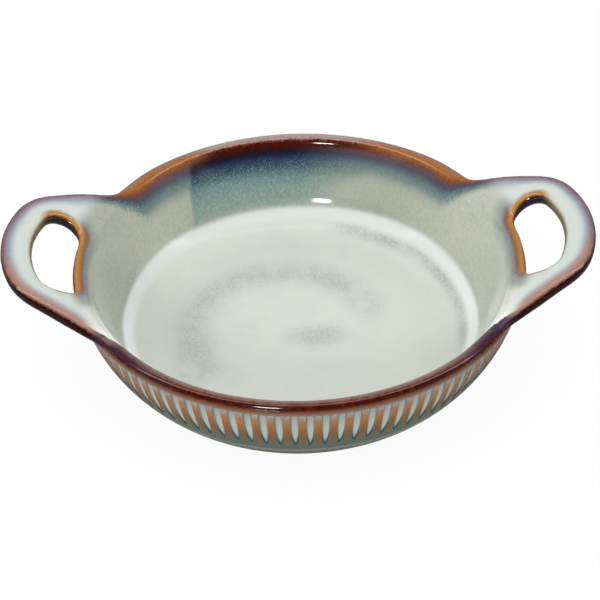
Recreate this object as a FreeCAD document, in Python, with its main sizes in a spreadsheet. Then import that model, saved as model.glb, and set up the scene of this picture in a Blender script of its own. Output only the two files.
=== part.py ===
import FreeCAD, Part
import math
import os

import Sketcher

App = FreeCAD
V = App.Vector

# Driving sizes in millimetres and degrees, each with what it measures
SIZES = [
    ("rim_diameter", 203.0, "across the outside of the rolled lip"),
    ("rim_height", 48.6, "table to the top of the lip"),
    ("wall_flare", 22.5, "how far the lip stands out over the foot"),
    ("wall_bulge_radius", 71.0, "outside wall in section"),
    ("lip_radius", 3.4, "rolled lip in section"),
    ("band_height", 5.6, "top of the lip to the ledge over the flutes"),
    ("ledge_step", 0.7, "how far the plain band stands out at the ledge"),
    ("floor_thickness", 6.3, "table to the cooking surface"),
    ("floor_inset", 12.5, "foot to where the cove starts inside"),
    ("cove_radius", 20.0, "between floor and inside wall"),
    ("foot_ring_width", 7.0, "unglazed ring that the dish stands on"),
    ("foot_recess", 1.6, "hollow of the underside inside the ring"),
    ("foot_chamfer", 1.0, "bevel on the ring's two edges"),
    ("flute_count", 96, "flutes round the outside wall"),
    ("flute_gap", 0.6, "ledge to the head of a flute"),
    ("flute_length", 23.5, "head of a flute to its pointed end"),
    ("flute_depth", 1.1, "at the head"),
    ("flute_width", 3.6, "across the head of a flute"),
    ("flute_floor", 0.8, "flat bottom of a flute"),
    ("handle_tip_radius", 66.0, "outer side of a handle in plan"),
    ("handle_shoulder_radius", 27.5, "shoulders of a handle in plan"),
    ("handle_shoulder_spacing", 30.0, "between the centres of the two shoulders"),
    ("handle_flank_angle", 29.0, "splay of each flank towards the bowl"),
    ("handle_root_radius", 24.0, "hollow curve where a flank meets the rim"),
    ("handle_slope", 37.5, "rise of a handle where it leaves the lip"),
    ("handle_sweep_radius", 87.0, "arc that levels a handle out towards its tip"),
    ("handle_thickness", 6.7, "through a handle"),
    ("handle_edge_radius", 3.0, "rounding of a handle's edges"),
    ("strap_width", 13.4, "grip outside the finger hole"),
    ("hole_offset", 0.3, "rim to the side of the finger hole that follows it"),
    ("hole_depth", 16.7, "finger room from that side to the grip"),
    ("hole_end_radius", 7.1, "rounded ends of the finger hole"),
]

# Working allowances that do not change the finished dish
BLANK_SPARE = 4
BLANK_ANGLE = 120
TRIM_SPARE = 20
FLUTE_RUN_OUT = 1.06
STARTING_TURN = 2
ON_THE_TABLE = 0.01

# Limits that keep roundings possible when a size shrinks, as shares of that size
END_SHARE = 0.45
EDGE_SHARE = 0.48

doc = App.newDocument("baking_dish")
sheet = doc.addObject("Spreadsheet::Sheet", "Sizes")
for row, (name, value, note) in enumerate(SIZES, start=1):
    sheet.set(f"A{row}", name)
    sheet.set(f"B{row}", str(value))
    sheet.set(f"C{row}", note)
    sheet.setAlias(f"B{row}", name)
doc.recompute()


def size(name):
    """Value of one cell, used only for a sketch's starting shape."""
    return float(sheet.get(name))


# Lengths that follow from the driving sizes, written as formulas
RIM = "Sizes.rim_diameter / 2"
LIP_CENTRE_X = f"{RIM} - Sizes.lip_radius"
LIP_CENTRE_Z = "Sizes.rim_height - Sizes.lip_radius"
FOOT = f"{RIM} - Sizes.wall_flare"
LEDGE_Z = "Sizes.rim_height - Sizes.band_height"
HOLE_SIDE = f"{RIM} + Sizes.hole_offset"
TIP = f"{HOLE_SIDE} + Sizes.hole_depth + Sizes.strap_width"

rim = size("rim_diameter") / 2
foot = rim - size("wall_flare")
lip_x = rim - size("lip_radius")
lip_z = size("rim_height") - size("lip_radius")
ledge_z = size("rim_height") - size("band_height")
hole_side = rim + size("hole_offset")
tip = hole_side + size("hole_depth") + size("strap_width")


def new_sketch(body, name, role):
    """Sketch on one of the body's own origin planes."""
    sketch = body.newObject("Sketcher::SketchObject", name)
    plane = [part for part in body.Origin.OriginFeatures if part.Role == role][0]
    sketch.AttachmentSupport = [(plane, "")]
    sketch.MapMode = "FlatFace"
    return sketch


def turn_sketch(sketch, formula):
    """Turn of a sketch about the upright line of its plane, bound to a formula."""
    sketch.AttachmentOffset = App.Placement(V(0, 0, 0), App.Rotation(V(0, 1, 0), STARTING_TURN))
    sketch.setExpression("AttachmentOffset.Rotation.Angle", formula)


def drive(sketch, name, formula, kind, *where):
    """Dimension of a sketch, bound to a formula on the sheet."""
    index = sketch.addConstraint(Sketcher.Constraint(kind, *where))
    sketch.renameConstraint(index, name)
    sketch.setExpression(f"Constraints.{name}", formula)


def line(sketch, start, end, construction=False):
    return sketch.addGeometry(Part.LineSegment(V(*start), V(*end)), construction)


def arc(sketch, centre, radius, start_angle, end_angle, construction=False):
    circle = Part.Circle(V(*centre), V(0, 0, 1), radius)
    turned = Part.ArcOfCircle(circle, math.radians(start_angle), math.radians(end_angle))
    return sketch.addGeometry(turned, construction)


def join(sketch, *pairs):
    """Coincident points, as (edge, point, edge, point)."""
    for pair in pairs:
        sketch.addConstraint(Sketcher.Constraint("Coincident", *pair))


def blend(sketch, *pairs):
    """Tangent joints, as (edge, point, edge, point)."""
    for pair in pairs:
        sketch.addConstraint(Sketcher.Constraint("Tangent", *pair))


def fix(sketch, kind, *edges):
    for edge in edges:
        sketch.addConstraint(Sketcher.Constraint(kind, edge))


def polar(centre, radius, angle):
    turn = math.radians(angle)
    return (centre[0] + radius * math.cos(turn), centre[1] + radius * math.sin(turn), 0)


def bearing(start, end):
    return math.degrees(math.atan2(end[1] - start[1], end[0] - start[0]))


def arc_centre(start, end, radius):
    """Centre of the arc that bulges away from the axis between two points."""
    across = (end[0] - start[0], end[1] - start[1])
    chord = math.hypot(*across)
    back = math.sqrt(radius ** 2 - chord ** 2 / 4) / chord
    middle = ((start[0] + end[0]) / 2, (start[1] + end[1]) / 2)
    return (middle[0] - back * across[1], middle[1] + back * across[0], 0)


# Bowl: one turned section, from the cooking surface over the lip and down to the foot
bowl = doc.addObject("PartDesign::Body", "baking_dish")
bowl.Label = "baking_dish"

section = new_sketch(bowl, "bowl_section", "XZ_Plane")
turn_sketch(section, "180deg / Sizes.flute_count")
floor_z = size("floor_thickness")
floor_x = foot - size("floor_inset")
ledge_x = rim - size("ledge_step")
wall_centre = arc_centre((foot, 0), (ledge_x, ledge_z), size("wall_bulge_radius"))
cove_centre = (floor_x, floor_z + size("cove_radius"))
lip_centre = (lip_x, lip_z)
# the inside wall touches the cove and the lip on opposite sides, so it crosses the line between them
lean = bearing(cove_centre, lip_centre)
lean += math.degrees(math.asin((size("cove_radius") + size("lip_radius")) /
                               math.dist(cove_centre, lip_centre)))

axis = line(section, (0, 0), (0, floor_z))
floor = line(section, (0, floor_z), (floor_x, floor_z))
cove = arc(section, cove_centre, size("cove_radius"), -90, lean - 90)
inside = line(section, polar(cove_centre, size("cove_radius"), lean - 90),
              polar(lip_centre, size("lip_radius"), lean + 90))
lip = arc(section, lip_centre, size("lip_radius"), 0, lean + 90)
band = line(section, (rim, lip_z), (rim, ledge_z))
ledge = line(section, (rim, ledge_z), (ledge_x, ledge_z))
wall = arc(section, wall_centre, size("wall_bulge_radius"),
           bearing(wall_centre, (foot, 0)), bearing(wall_centre, (ledge_x, ledge_z)))
base = line(section, (foot, 0), (0, 0))

join(section, (axis, 1, -1, 1), (axis, 2, floor, 1), (band, 2, ledge, 1),
     (ledge, 2, wall, 2), (wall, 1, base, 1), (base, 2, axis, 1))
fix(section, "Vertical", axis, band)
fix(section, "Horizontal", floor, ledge, base)
blend(section, (floor, 2, cove, 1), (cove, 2, inside, 1), (inside, 2, lip, 2), (lip, 1, band, 1))
drive(section, "rim", RIM, "DistanceX", -1, 1, band, 1, rim)
drive(section, "lip_height", LIP_CENTRE_Z, "DistanceY", -1, 1, lip, 3, lip_z)
drive(section, "lip", "Sizes.lip_radius", "Radius", lip, size("lip_radius"))
drive(section, "ledge_height", LEDGE_Z, "DistanceY", -1, 1, ledge, 1, ledge_z)
drive(section, "ledge_step", "Sizes.ledge_step", "DistanceX", ledge, 2, ledge, 1, size("ledge_step"))
drive(section, "foot", FOOT, "DistanceX", -1, 1, wall, 1, foot)
drive(section, "bulge", "Sizes.wall_bulge_radius", "Radius", wall, size("wall_bulge_radius"))
drive(section, "floor", "Sizes.floor_thickness", "DistanceY", -1, 1, floor, 1, floor_z)
drive(section, "floor_run", f"{FOOT} - Sizes.floor_inset", "DistanceX", -1, 1, floor, 2, floor_x)
drive(section, "cove", "Sizes.cove_radius", "Radius", cove, size("cove_radius"))
for name, kind, value in (("wall_centre_x", "DistanceX", wall_centre[0]),
                          ("wall_centre_z", "DistanceY", wall_centre[1])):
    measured = section.addConstraint(Sketcher.Constraint(kind, -1, 1, wall, 3, value))
    section.setDriving(measured, False)
    section.renameConstraint(measured, name)

turned = bowl.newObject("PartDesign::Revolution", "turned_bowl")
turned.Profile = section
turned.ReferenceAxis = (section, ["V_Axis"])
turned.Angle = 360
doc.recompute()

# Underside: the hollow inside the foot ring
underside = new_sketch(bowl, "underside", "XY_Plane")
hollow = underside.addGeometry(Part.Circle(V(0, 0, 0), V(0, 0, 1), foot - size("foot_ring_width")), False)
join(underside, (hollow, 3, -1, 1))
drive(underside, "hollow", f"{FOOT} - Sizes.foot_ring_width", "Radius", hollow,
      foot - size("foot_ring_width"))
recess = bowl.newObject("PartDesign::Pocket", "foot_recess")
recess.Profile = underside
recess.Reversed = True
recess.setExpression("Length", "Sizes.foot_recess")
doc.recompute()

foot_edges = [f"Edge{number}" for number, edge in enumerate(recess.Shape.Edges, start=1)
              if edge.BoundBox.ZMax < ON_THE_TABLE and isinstance(edge.Curve, Part.Circle)]
foot_bevel = bowl.newObject("PartDesign::Chamfer", "foot_edges")
foot_bevel.Base = (recess, foot_edges)
foot_bevel.setExpression("Size", "Sizes.foot_chamfer")
doc.recompute()

# One flute: a round cutter that follows the wall and comes out of it at its lower end
WALL = "Sizes.wall_bulge_radius"
WALL_X = "bowl_section.Constraints.wall_centre_x / 1mm"
WALL_Z = "bowl_section.Constraints.wall_centre_z / 1mm"
FLUTE_ARC = f"(1 / (1 / {WALL} - 2 * Sizes.flute_depth / Sizes.flute_length ^ 2))"
FLUTE_CENTRE = f"({WALL} - Sizes.flute_depth - {FLUTE_ARC})"
HEAD_TURN = f"(asin(({WALL_Z} - ({LEDGE_Z})) / {WALL}) + Sizes.flute_gap / {WALL} * 180deg / pi)"

flute_arc = 1 / (1 / size("wall_bulge_radius") - 2 * size("flute_depth") / size("flute_length") ** 2)
cutter = new_sketch(bowl, "flute_section", "XY_Plane")
turn_sketch(cutter, HEAD_TURN)
cutter.setExpression("AttachmentOffset.Base.x", f"{WALL_X} + {FLUTE_CENTRE} * cos({HEAD_TURN})")
cutter.setExpression("AttachmentOffset.Base.z", f"{WALL_Z} - {FLUTE_CENTRE} * sin({HEAD_TURN})")
flute_top = flute_arc + 2 * size("flute_depth")
head_half = size("flute_width") - size("flute_floor") / 2
floor_half = size("flute_floor") / 2
corners = [(flute_arc, -floor_half), (flute_top, -head_half),
           (flute_top, head_half), (flute_arc, floor_half)]
sides = [line(cutter, (*start, 0), (*end, 0)) for start, end in zip(corners, corners[1:] + corners[:1])]
left, outer, right, bottom = sides
join(cutter, (left, 2, outer, 1), (outer, 2, right, 1), (right, 2, bottom, 1), (bottom, 2, left, 1))
cutter.addConstraint(Sketcher.Constraint("Symmetric", bottom, 1, bottom, 2, -1))
cutter.addConstraint(Sketcher.Constraint("Symmetric", outer, 1, outer, 2, -1))
drive(cutter, "flute_arc", FLUTE_ARC, "DistanceX", -1, 1, left, 1, flute_arc)
drive(cutter, "flute_top", "2 * Sizes.flute_depth", "DistanceX", left, 1, left, 2, 2 * size("flute_depth"))
drive(cutter, "flute_floor", "Sizes.flute_floor", "DistanceY", bottom, 2, bottom, 1, size("flute_floor"))
drive(cutter, "flute_head", "2 * Sizes.flute_width - Sizes.flute_floor", "DistanceY", outer, 1, outer, 2,
      2 * head_half)

flute = bowl.newObject("PartDesign::Groove", "flute")
flute.Profile = cutter
flute.ReferenceAxis = (cutter, ["V_Axis"])
flute.setExpression("Angle", f"{FLUTE_RUN_OUT} * Sizes.flute_length / {FLUTE_ARC} * 180deg / pi")
doc.recompute()

flutes = bowl.newObject("PartDesign::PolarPattern", "flutes")
flutes.Originals = [flute]
flutes.Axis = ([part for part in bowl.Origin.OriginFeatures if part.Role == "Z_Axis"][0], [""])
flutes.Angle = 360
flutes.setExpression("Occurrences", "Sizes.flute_count")
bowl.Tip = flutes
doc.recompute()

# Plan of a handle: tip arc, two shoulders, two straight flanks and two hollow roots at the rim
tip_centre = (tip - size("handle_tip_radius"), 0, 0)
shoulder_reach = size("handle_tip_radius") - size("handle_shoulder_radius")
shoulder_turn = math.degrees(math.asin(size("handle_shoulder_spacing") / 2 / shoulder_reach))
shoulder_centre = polar(tip_centre, shoulder_reach, shoulder_turn)
flank_turn = 90 - size("handle_flank_angle")
flank_start = polar(shoulder_centre, size("handle_shoulder_radius"), flank_turn)
ROOT_START = f"{LIP_CENTRE_X} + Sizes.handle_thickness / 2 * cos(Sizes.handle_slope * 1deg)"
ROOT_RING = f"{ROOT_START} + Sizes.handle_root_radius"
root_ring = (lip_x + size("handle_thickness") / 2 * math.cos(math.radians(size("handle_slope")))
             + size("handle_root_radius"))


def on_side(point, turn):
    """A point of the left half (turn 1), or its twin on the right half (turn -1)."""
    return (point[0], turn * point[1], 0)


def root_start():
    """Where the hollow root's centre lies: off the flank by its radius, and on the root ring."""
    aside = polar(flank_start, size("handle_root_radius"), flank_turn)
    along = polar((0, 0), 1, flank_turn + 90)
    back = -(aside[0] * along[0] + aside[1] * along[1])
    run = back - math.sqrt(back ** 2 - aside[0] ** 2 - aside[1] ** 2 + root_ring ** 2)
    return (aside[0] + run * along[0], aside[1] + run * along[1], 0)


root = root_start()
root_turn = bearing((0, 0), root)


def handle_plate(body):
    """Turned blank: an arc that leaves the lip's centre and levels out, given its thickness."""
    sketch = new_sketch(body, "handle_section", "XZ_Plane")
    slope = size("handle_slope")
    sweep = size("handle_sweep_radius")
    half = size("handle_thickness") / 2
    centre = polar((lip_x, lip_z), sweep, slope - 90)
    start = 90 + slope
    end_x = tip + BLANK_SPARE
    top_end = math.degrees(math.acos((end_x - centre[0]) / (sweep + half)))
    under_end = math.degrees(math.acos((end_x - centre[0]) / (sweep - half)))
    top = arc(sketch, centre, sweep + half, top_end, start)
    under = arc(sketch, centre, sweep - half, under_end, start)
    outer = line(sketch, polar(centre, sweep + half, top_end), polar(centre, sweep - half, under_end))
    inner = line(sketch, polar(centre, sweep + half, start), polar(centre, sweep - half, start))
    spoke = line(sketch, (lip_x, lip_z, 0), centre, construction=True)
    join(sketch, (top, 1, outer, 1), (outer, 2, under, 1), (top, 2, inner, 1), (inner, 2, under, 2),
         (top, 3, spoke, 2), (under, 3, spoke, 2))
    for point in (1, 2):
        sketch.addConstraint(Sketcher.Constraint("PointOnObject", inner, point, spoke))
    fix(sketch, "Vertical", outer)
    drive(sketch, "lip_x", LIP_CENTRE_X, "DistanceX", -1, 1, spoke, 1, lip_x)
    drive(sketch, "lip_z", LIP_CENTRE_Z, "DistanceY", -1, 1, spoke, 1, lip_z)
    drive(sketch, "sweep", "Sizes.handle_sweep_radius", "Distance", spoke, sweep)
    drive(sketch, "slope", "Sizes.handle_slope * 1deg - 90deg", "Angle", spoke, math.radians(slope - 90))
    drive(sketch, "top", "Sizes.handle_sweep_radius + Sizes.handle_thickness / 2", "Radius", top,
          sweep + half)
    drive(sketch, "under", "Sizes.handle_sweep_radius - Sizes.handle_thickness / 2", "Radius", under,
          sweep - half)
    drive(sketch, "end", f"{TIP} + {BLANK_SPARE}", "DistanceX", -1, 1, outer, 1, end_x)
    plate = body.newObject("PartDesign::Revolution", "handle_plate")
    plate.Profile = sketch
    plate.ReferenceAxis = (sketch, ["V_Axis"])
    plate.Midplane = True
    plate.Angle = BLANK_ANGLE


def handle_outline(body):
    """Everything outside this outline is cut off the plate."""
    sketch = new_sketch(body, "handle_outline", "XY_Plane")
    tip_radius = size("handle_tip_radius")
    shoulder_radius = size("handle_shoulder_radius")
    root_radius = size("handle_root_radius")
    inner_radius = rim - 2 * size("lip_radius")
    flank_end = polar(root, root_radius, flank_turn + 180)
    root_end = polar(root, root_radius, root_turn + 180)
    inner_end = polar((0, 0), inner_radius, root_turn)
    tip_arc = arc(sketch, tip_centre, tip_radius, -shoulder_turn, shoulder_turn)
    inner = arc(sketch, (0, 0, 0), inner_radius, -root_turn, root_turn)
    around = sketch.addGeometry(Part.Circle(V(0, 0, 0), V(0, 0, 1), tip + TRIM_SPARE), False)
    join(sketch, (inner, 3, -1, 1), (around, 3, -1, 1))
    sketch.addConstraint(Sketcher.Constraint("PointOnObject", tip_arc, 3, -1))
    drive(sketch, "tip_centre", f"{TIP} - Sizes.handle_tip_radius", "DistanceX", -1, 1, tip_arc, 3,
          tip_centre[0])
    drive(sketch, "tip", "Sizes.handle_tip_radius", "Radius", tip_arc, tip_radius)
    drive(sketch, "inner", f"{RIM} - 2 * Sizes.lip_radius", "Radius", inner, inner_radius)
    drive(sketch, "around", f"{TIP} + {TRIM_SPARE}", "Radius", around, tip + TRIM_SPARE)
    for side, turn in (("left", 1), ("right", -1)):
        near, far = (1, 2) if turn == 1 else (2, 1)
        shoulder = arc(sketch, on_side(shoulder_centre, turn), shoulder_radius,
                       *sorted((turn * shoulder_turn, turn * flank_turn)))
        flank = line(sketch, on_side(flank_start, turn), on_side(flank_end, turn))
        hollow = arc(sketch, on_side(root, turn), root_radius,
                     *sorted((turn * (root_turn + 180), turn * (flank_turn + 180))))
        end = line(sketch, on_side(root_end, turn), on_side(inner_end, turn))
        spoke = line(sketch, (0, 0, 0), on_side(root, turn), construction=True)
        blend(sketch, (tip_arc, far, shoulder, near), (shoulder, far, flank, 1), (flank, 2, hollow, far))
        join(sketch, (hollow, near, end, 1), (end, 2, inner, far), (spoke, 1, -1, 1), (spoke, 2, hollow, 3))
        for point in (1, 2):
            sketch.addConstraint(Sketcher.Constraint("PointOnObject", end, point, spoke))
        drive(sketch, f"shoulder_{side}", "Sizes.handle_shoulder_radius", "Radius", shoulder,
              shoulder_radius)
        drive(sketch, f"root_{side}", "Sizes.handle_root_radius", "Radius", hollow, root_radius)
        drive(sketch, f"root_ring_{side}", ROOT_RING, "Distance", spoke, root_ring)
        drive(sketch, f"flank_{side}", f"{turn} * (180deg - Sizes.handle_flank_angle * 1deg)", "Angle",
              flank, math.radians(turn * (180 - size("handle_flank_angle"))))
        ends = (-1, 1, shoulder, 3) if turn == 1 else (shoulder, 3, -1, 1)
        drive(sketch, f"spacing_{side}", "Sizes.handle_shoulder_spacing / 2", "DistanceY", *ends,
              size("handle_shoulder_spacing") / 2)
    return sketch


def finger_hole(body):
    """A bent bean: one side follows the rim, the other the grip, with rounded ends."""
    sketch = new_sketch(body, "finger_hole", "XY_Plane")
    grip_radius = size("handle_tip_radius") - size("strap_width")
    end_radius = min(size("hole_end_radius"), END_SHARE * size("hole_depth"))
    from_axis = hole_side + end_radius
    from_tip_centre = grip_radius - end_radius
    end_x = (from_axis ** 2 - from_tip_centre ** 2 + tip_centre[0] ** 2) / (2 * tip_centre[0])
    end_y = math.sqrt(from_axis ** 2 - end_x ** 2)
    side_turn = bearing((0, 0), (end_x, end_y))
    grip_turn = bearing(tip_centre, (end_x, end_y))
    grip = arc(sketch, tip_centre, grip_radius, -grip_turn, grip_turn)
    left = arc(sketch, (end_x, end_y, 0), end_radius, grip_turn, 180 + side_turn)
    right = arc(sketch, (end_x, -end_y, 0), end_radius, 180 - side_turn, 360 - grip_turn)
    side = arc(sketch, (0, 0, 0), hole_side, -side_turn, side_turn)
    blend(sketch, (grip, 2, left, 1), (left, 2, side, 2), (side, 1, right, 1), (right, 2, grip, 1))
    join(sketch, (side, 3, -1, 1))
    sketch.addConstraint(Sketcher.Constraint("PointOnObject", grip, 3, -1))
    drive(sketch, "tip_centre", f"{TIP} - Sizes.handle_tip_radius", "DistanceX", -1, 1, grip, 3,
          tip_centre[0])
    drive(sketch, "grip", "Sizes.handle_tip_radius - Sizes.strap_width", "Radius", grip, grip_radius)
    drive(sketch, "side", HOLE_SIDE, "Radius", side, hole_side)
    for name, edge in (("left_end", left), ("right_end", right)):
        drive(sketch, name, f"min(Sizes.hole_end_radius; {END_SHARE} * Sizes.hole_depth)", "Radius", edge,
              end_radius)
    return sketch


def make_handle(name, turn):
    body = doc.addObject("PartDesign::Body", name)
    handle_plate(body)
    outline = handle_outline(body)
    trim = body.newObject("PartDesign::Pocket", "trimmed_plate")
    trim.Profile = outline
    trim.Type = "ThroughAll"
    trim.Midplane = True
    hole = finger_hole(body)
    pierce = body.newObject("PartDesign::Pocket", "pierced_plate")
    pierce.Profile = hole
    pierce.Type = "ThroughAll"
    pierce.Midplane = True
    doc.recompute()
    edges = []
    for number, edge in enumerate(pierce.Shape.Edges, 1):
        middle = edge.valueAt((edge.FirstParameter + edge.LastParameter) / 2)
        upright = isinstance(edge.Curve, Part.Line)
        if math.hypot(middle.x, middle.y) > root_ring - size("handle_root_radius") and not upright:
            edges.append(f"Edge{number}")
    rounded = body.newObject("PartDesign::Fillet", "rounded_edges")
    rounded.Base = (pierce, edges)
    rounded.setExpression("Radius", f"min(Sizes.handle_edge_radius; {EDGE_SHARE} * Sizes.handle_thickness)")
    body.Placement = FreeCAD.Placement(V(0, 0, 0), FreeCAD.Rotation(V(0, 0, 1), turn))
    return body


handles = [make_handle("handle_right", 0), make_handle("handle_left", 180)]
joined = bowl.newObject("PartDesign::Boolean", "joined_handles")
joined.Type = "Fuse"
joined.setObjects(handles)
bowl.Tip = joined
doc.recompute()

for item in doc.Objects:
    if "Invalid" in item.State or "Error" in item.State:
        raise RuntimeError(f"{item.Label} did not build")
    if item.isDerivedFrom("PartDesign::Feature") and (item.Shape.isNull() or not item.Shape.isValid()):
        raise RuntimeError(f"{item.Label} has a bad shape")
if len(bowl.Shape.Solids) != 1 or not bowl.Shape.isValid():
    raise RuntimeError("the dish is not one sound solid")

os.makedirs("parts", exist_ok=True)
bowl.Shape.exportStep("parts/baking_dish.step")
print("baking_dish", round(bowl.Shape.Volume / 1000, 1), "cm3,", len(bowl.Shape.Faces), "faces")
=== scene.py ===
import math
from itertools import combinations

import bpy
import numpy as np
from mathutils import Matrix, Vector


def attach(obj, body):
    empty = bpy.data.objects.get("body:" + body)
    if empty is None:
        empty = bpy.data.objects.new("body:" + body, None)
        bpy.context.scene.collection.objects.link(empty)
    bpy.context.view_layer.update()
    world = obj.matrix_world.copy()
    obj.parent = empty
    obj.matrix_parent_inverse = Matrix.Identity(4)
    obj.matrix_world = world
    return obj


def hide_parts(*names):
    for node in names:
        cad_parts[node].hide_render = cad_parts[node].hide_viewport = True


mm = 0.001

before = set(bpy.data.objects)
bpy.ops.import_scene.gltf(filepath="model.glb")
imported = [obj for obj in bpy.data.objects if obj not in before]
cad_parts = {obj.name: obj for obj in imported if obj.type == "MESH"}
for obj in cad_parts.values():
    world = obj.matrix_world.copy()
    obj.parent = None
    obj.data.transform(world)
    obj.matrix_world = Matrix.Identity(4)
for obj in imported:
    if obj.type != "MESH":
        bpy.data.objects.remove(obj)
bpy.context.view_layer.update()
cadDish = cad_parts["baking_dish"]


def makeActive(obj):
    bpy.ops.object.select_all(action="DESELECT")
    obj.select_set(True)
    bpy.context.view_layer.objects.active = obj


def coordinates(obj):
    flat = np.empty(len(obj.data.vertices) * 3)
    obj.data.vertices.foreach_get("co", flat)
    return flat.reshape(-1, 3)


def fromAxis(points):
    return np.hypot(points[:, 0], points[:, 1])


def bearings(points):
    # degrees away from the nearer handle
    return np.degrees(np.arctan2(np.abs(points[:, 1]), np.abs(points[:, 0])))


def modify(obj, kind, weights=None, **settings):
    # a modifier set and applied at once, where weights are given as strongly as each vertex's weight says
    bpy.ops.object.modifier_add(type=kind)
    modifier = obj.modifiers[-1]
    for name, value in settings.items():
        setattr(modifier, name, value)
    if weights is not None:
        group = obj.vertex_groups.new(name="strength")
        modifier.vertex_group = group.name
        for weight in np.unique(weights[weights > 0]):
            group.add(np.flatnonzero(weights == weight).tolist(), float(weight), "REPLACE")
    bpy.ops.object.modifier_apply(modifier=modifier.name)
    obj.vertex_groups.clear()


def pick(obj, chosen):
    # leaves the object in Edit mode with just the chosen vertices selected
    mesh = obj.data
    mesh.polygons.foreach_set("select", np.zeros(len(mesh.polygons), bool))
    mesh.edges.foreach_set("select", np.zeros(len(mesh.edges), bool))
    mesh.vertices.foreach_set("select", chosen)
    bpy.ops.object.mode_set(mode="EDIT")
    bpy.ops.mesh.select_mode(type="VERT")


def drawProfile(name, points):
    # a chain of vertices in the XZ plane, drawn by extruding one vertex from point to point
    bpy.ops.mesh.primitive_plane_add(size=0.01, location=(0, 0, 0))
    obj = bpy.context.object
    obj.name = name
    bpy.ops.object.mode_set(mode="EDIT")
    bpy.ops.mesh.select_all(action="SELECT")
    bpy.ops.mesh.merge(type="CENTER")
    bpy.ops.transform.translate(value=(points[0][0], 0, points[0][1]))
    for last, here in zip(points, points[1:]):
        bpy.ops.mesh.extrude_region_move(
            TRANSFORM_OT_translate={"value": (here[0] - last[0], 0, here[1] - last[1])})
    bpy.ops.object.mode_set(mode="OBJECT")
    return obj


# --- outside wall, ledge, flutes and foot: one flute modelled, then turned round the dish ---
wall = {
    "rimRadius": 101.5 * mm,
    "footRadius": 77.6 * mm,
    "bulge": 71 * mm,
    "bandTop": 46.4 * mm,
    "ledge": 43.0 * mm,
    "ledgeStep": 0.75 * mm,
    "footHeight": 1.4 * mm,
    "footRing": 7 * mm,
    "recess": 1.6 * mm,
}
flute = {
    "count": 96,
    "columns": 16,
    "top": 42.3 * mm,
    "bottom": 19.4 * mm,
    "rows": 18,
    "depth": 1.7 * mm,
    "halfWidth": 2.0 * mm,
    "straight": 0.3,
    "slope": 0.6,
    "shallower": 0.35,
}


def wallRadius(z):
    # outside wall in section: an arc from the foot to the ledge
    start = Vector((wall["footRadius"], 0))
    end = Vector((wall["rimRadius"] - wall["ledgeStep"], wall["ledge"]))
    chord = end - start
    back = math.sqrt(wall["bulge"] ** 2 - chord.length_squared / 4) / chord.length
    centre = (start + end) / 2 + back * Vector((-chord.y, chord.x))
    return centre.x + math.sqrt(wall["bulge"] ** 2 - (z - centre.y) ** 2)


fluteRows = [flute["top"] + (flute["bottom"] - 1 * mm - flute["top"]) * row / flute["rows"]
             for row in range(flute["rows"] + 1)]
plainRows = [(fluteRows[-1] - wall["footHeight"]) * (1 - row / 8) + wall["footHeight"] for row in range(1, 9)]
rim = wall["rimRadius"]
footIn = wall["footRadius"] - wall["footRing"]
wallPoints = [
    (rim - 1.6 * mm, wall["bandTop"] + 0.1 * mm),
    (rim - 0.45 * mm, wall["bandTop"]),
    (rim - 0.08 * mm, wall["bandTop"] - 0.35 * mm),
    (rim, wall["bandTop"] - 1.0 * mm),
    (rim, wall["ledge"] + 0.7 * mm),
    (rim - 0.1 * mm, wall["ledge"] + 0.25 * mm),
    (rim - 0.4 * mm, wall["ledge"] + 0.05 * mm),
    (wallRadius(wall["ledge"]) + 0.05 * mm, wall["ledge"] - 0.1 * mm),
]
wallPoints += [(wallRadius(z), z) for z in fluteRows + plainRows]
wallPoints += [
    (wall["footRadius"] - 0.2 * mm, 0.5 * mm),
    (wall["footRadius"] - 0.9 * mm, 0.06 * mm),
    (wall["footRadius"] - 2.0 * mm, 0.02 * mm),
    (footIn + 1.2 * mm, 0.02 * mm),
    (footIn + 0.3 * mm, 0.3 * mm),
    (footIn, wall["recess"] - 0.2 * mm),
    (footIn - 0.8 * mm, wall["recess"] + 0.02 * mm),
    (0.5 * footIn, wall["recess"] + 0.02 * mm),
    (0, wall["recess"] + 0.02 * mm),
]
outside = drawProfile("outside", wallPoints)
pitch = 2 * math.pi / flute["count"]
pick(outside, np.ones(len(outside.data.vertices), bool))
bpy.ops.transform.rotate(value=-pitch / 2, orient_axis="Z", center_override=(0, 0, 0))
bpy.ops.mesh.select_all(action="SELECT")
bpy.ops.mesh.spin(steps=flute["columns"], angle=pitch, center=(0, 0, 0), axis=(0, 0, 1))
bpy.ops.object.mode_set(mode="OBJECT")

# the flute pressed in row by row: a flat bottom with sloping sides, narrower and shallower towards its rounded end
points = coordinates(outside)
aside = np.abs(np.arctan2(points[:, 1], points[:, 0])) * fromAxis(points)
grooveDepth = np.zeros(len(points))
for z in fluteRows:
    along = (flute["top"] - z) / (flute["top"] - flute["bottom"])
    if along > 1:
        continue
    taper = max(0.0, along - flute["straight"]) / (1 - flute["straight"])
    width = flute["halfWidth"] * math.sqrt(max(0.0, 1 - taper ** 2))
    head = min(1.0, 0.35 + along / 0.08)
    for column in range(flute["columns"] // 2 + 1):
        place = column * pitch / flute["columns"] * wallRadius(z)
        side = min(1.0, max(0.0, (width - place) / (flute["slope"] * flute["halfWidth"])))
        depth = flute["depth"] * head * (1 - flute["shallower"] * along) * side * side * (3 - 2 * side)
        if depth < 0.01 * mm:
            continue
        ring = (np.abs(points[:, 2] - z) < 0.01 * mm) & (np.abs(aside - place) < 0.1 * mm)
        grooveDepth[ring] = depth / flute["depth"]
        pick(outside, ring)
        shrink = 1 - depth / wallRadius(z)
        bpy.ops.transform.resize(value=(shrink, shrink, 1), center_override=(0, 0, 0))
        bpy.ops.object.mode_set(mode="OBJECT")
outside.data.attributes.new("groove", "FLOAT", "POINT").data.foreach_set("value", grooveDepth)

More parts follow.
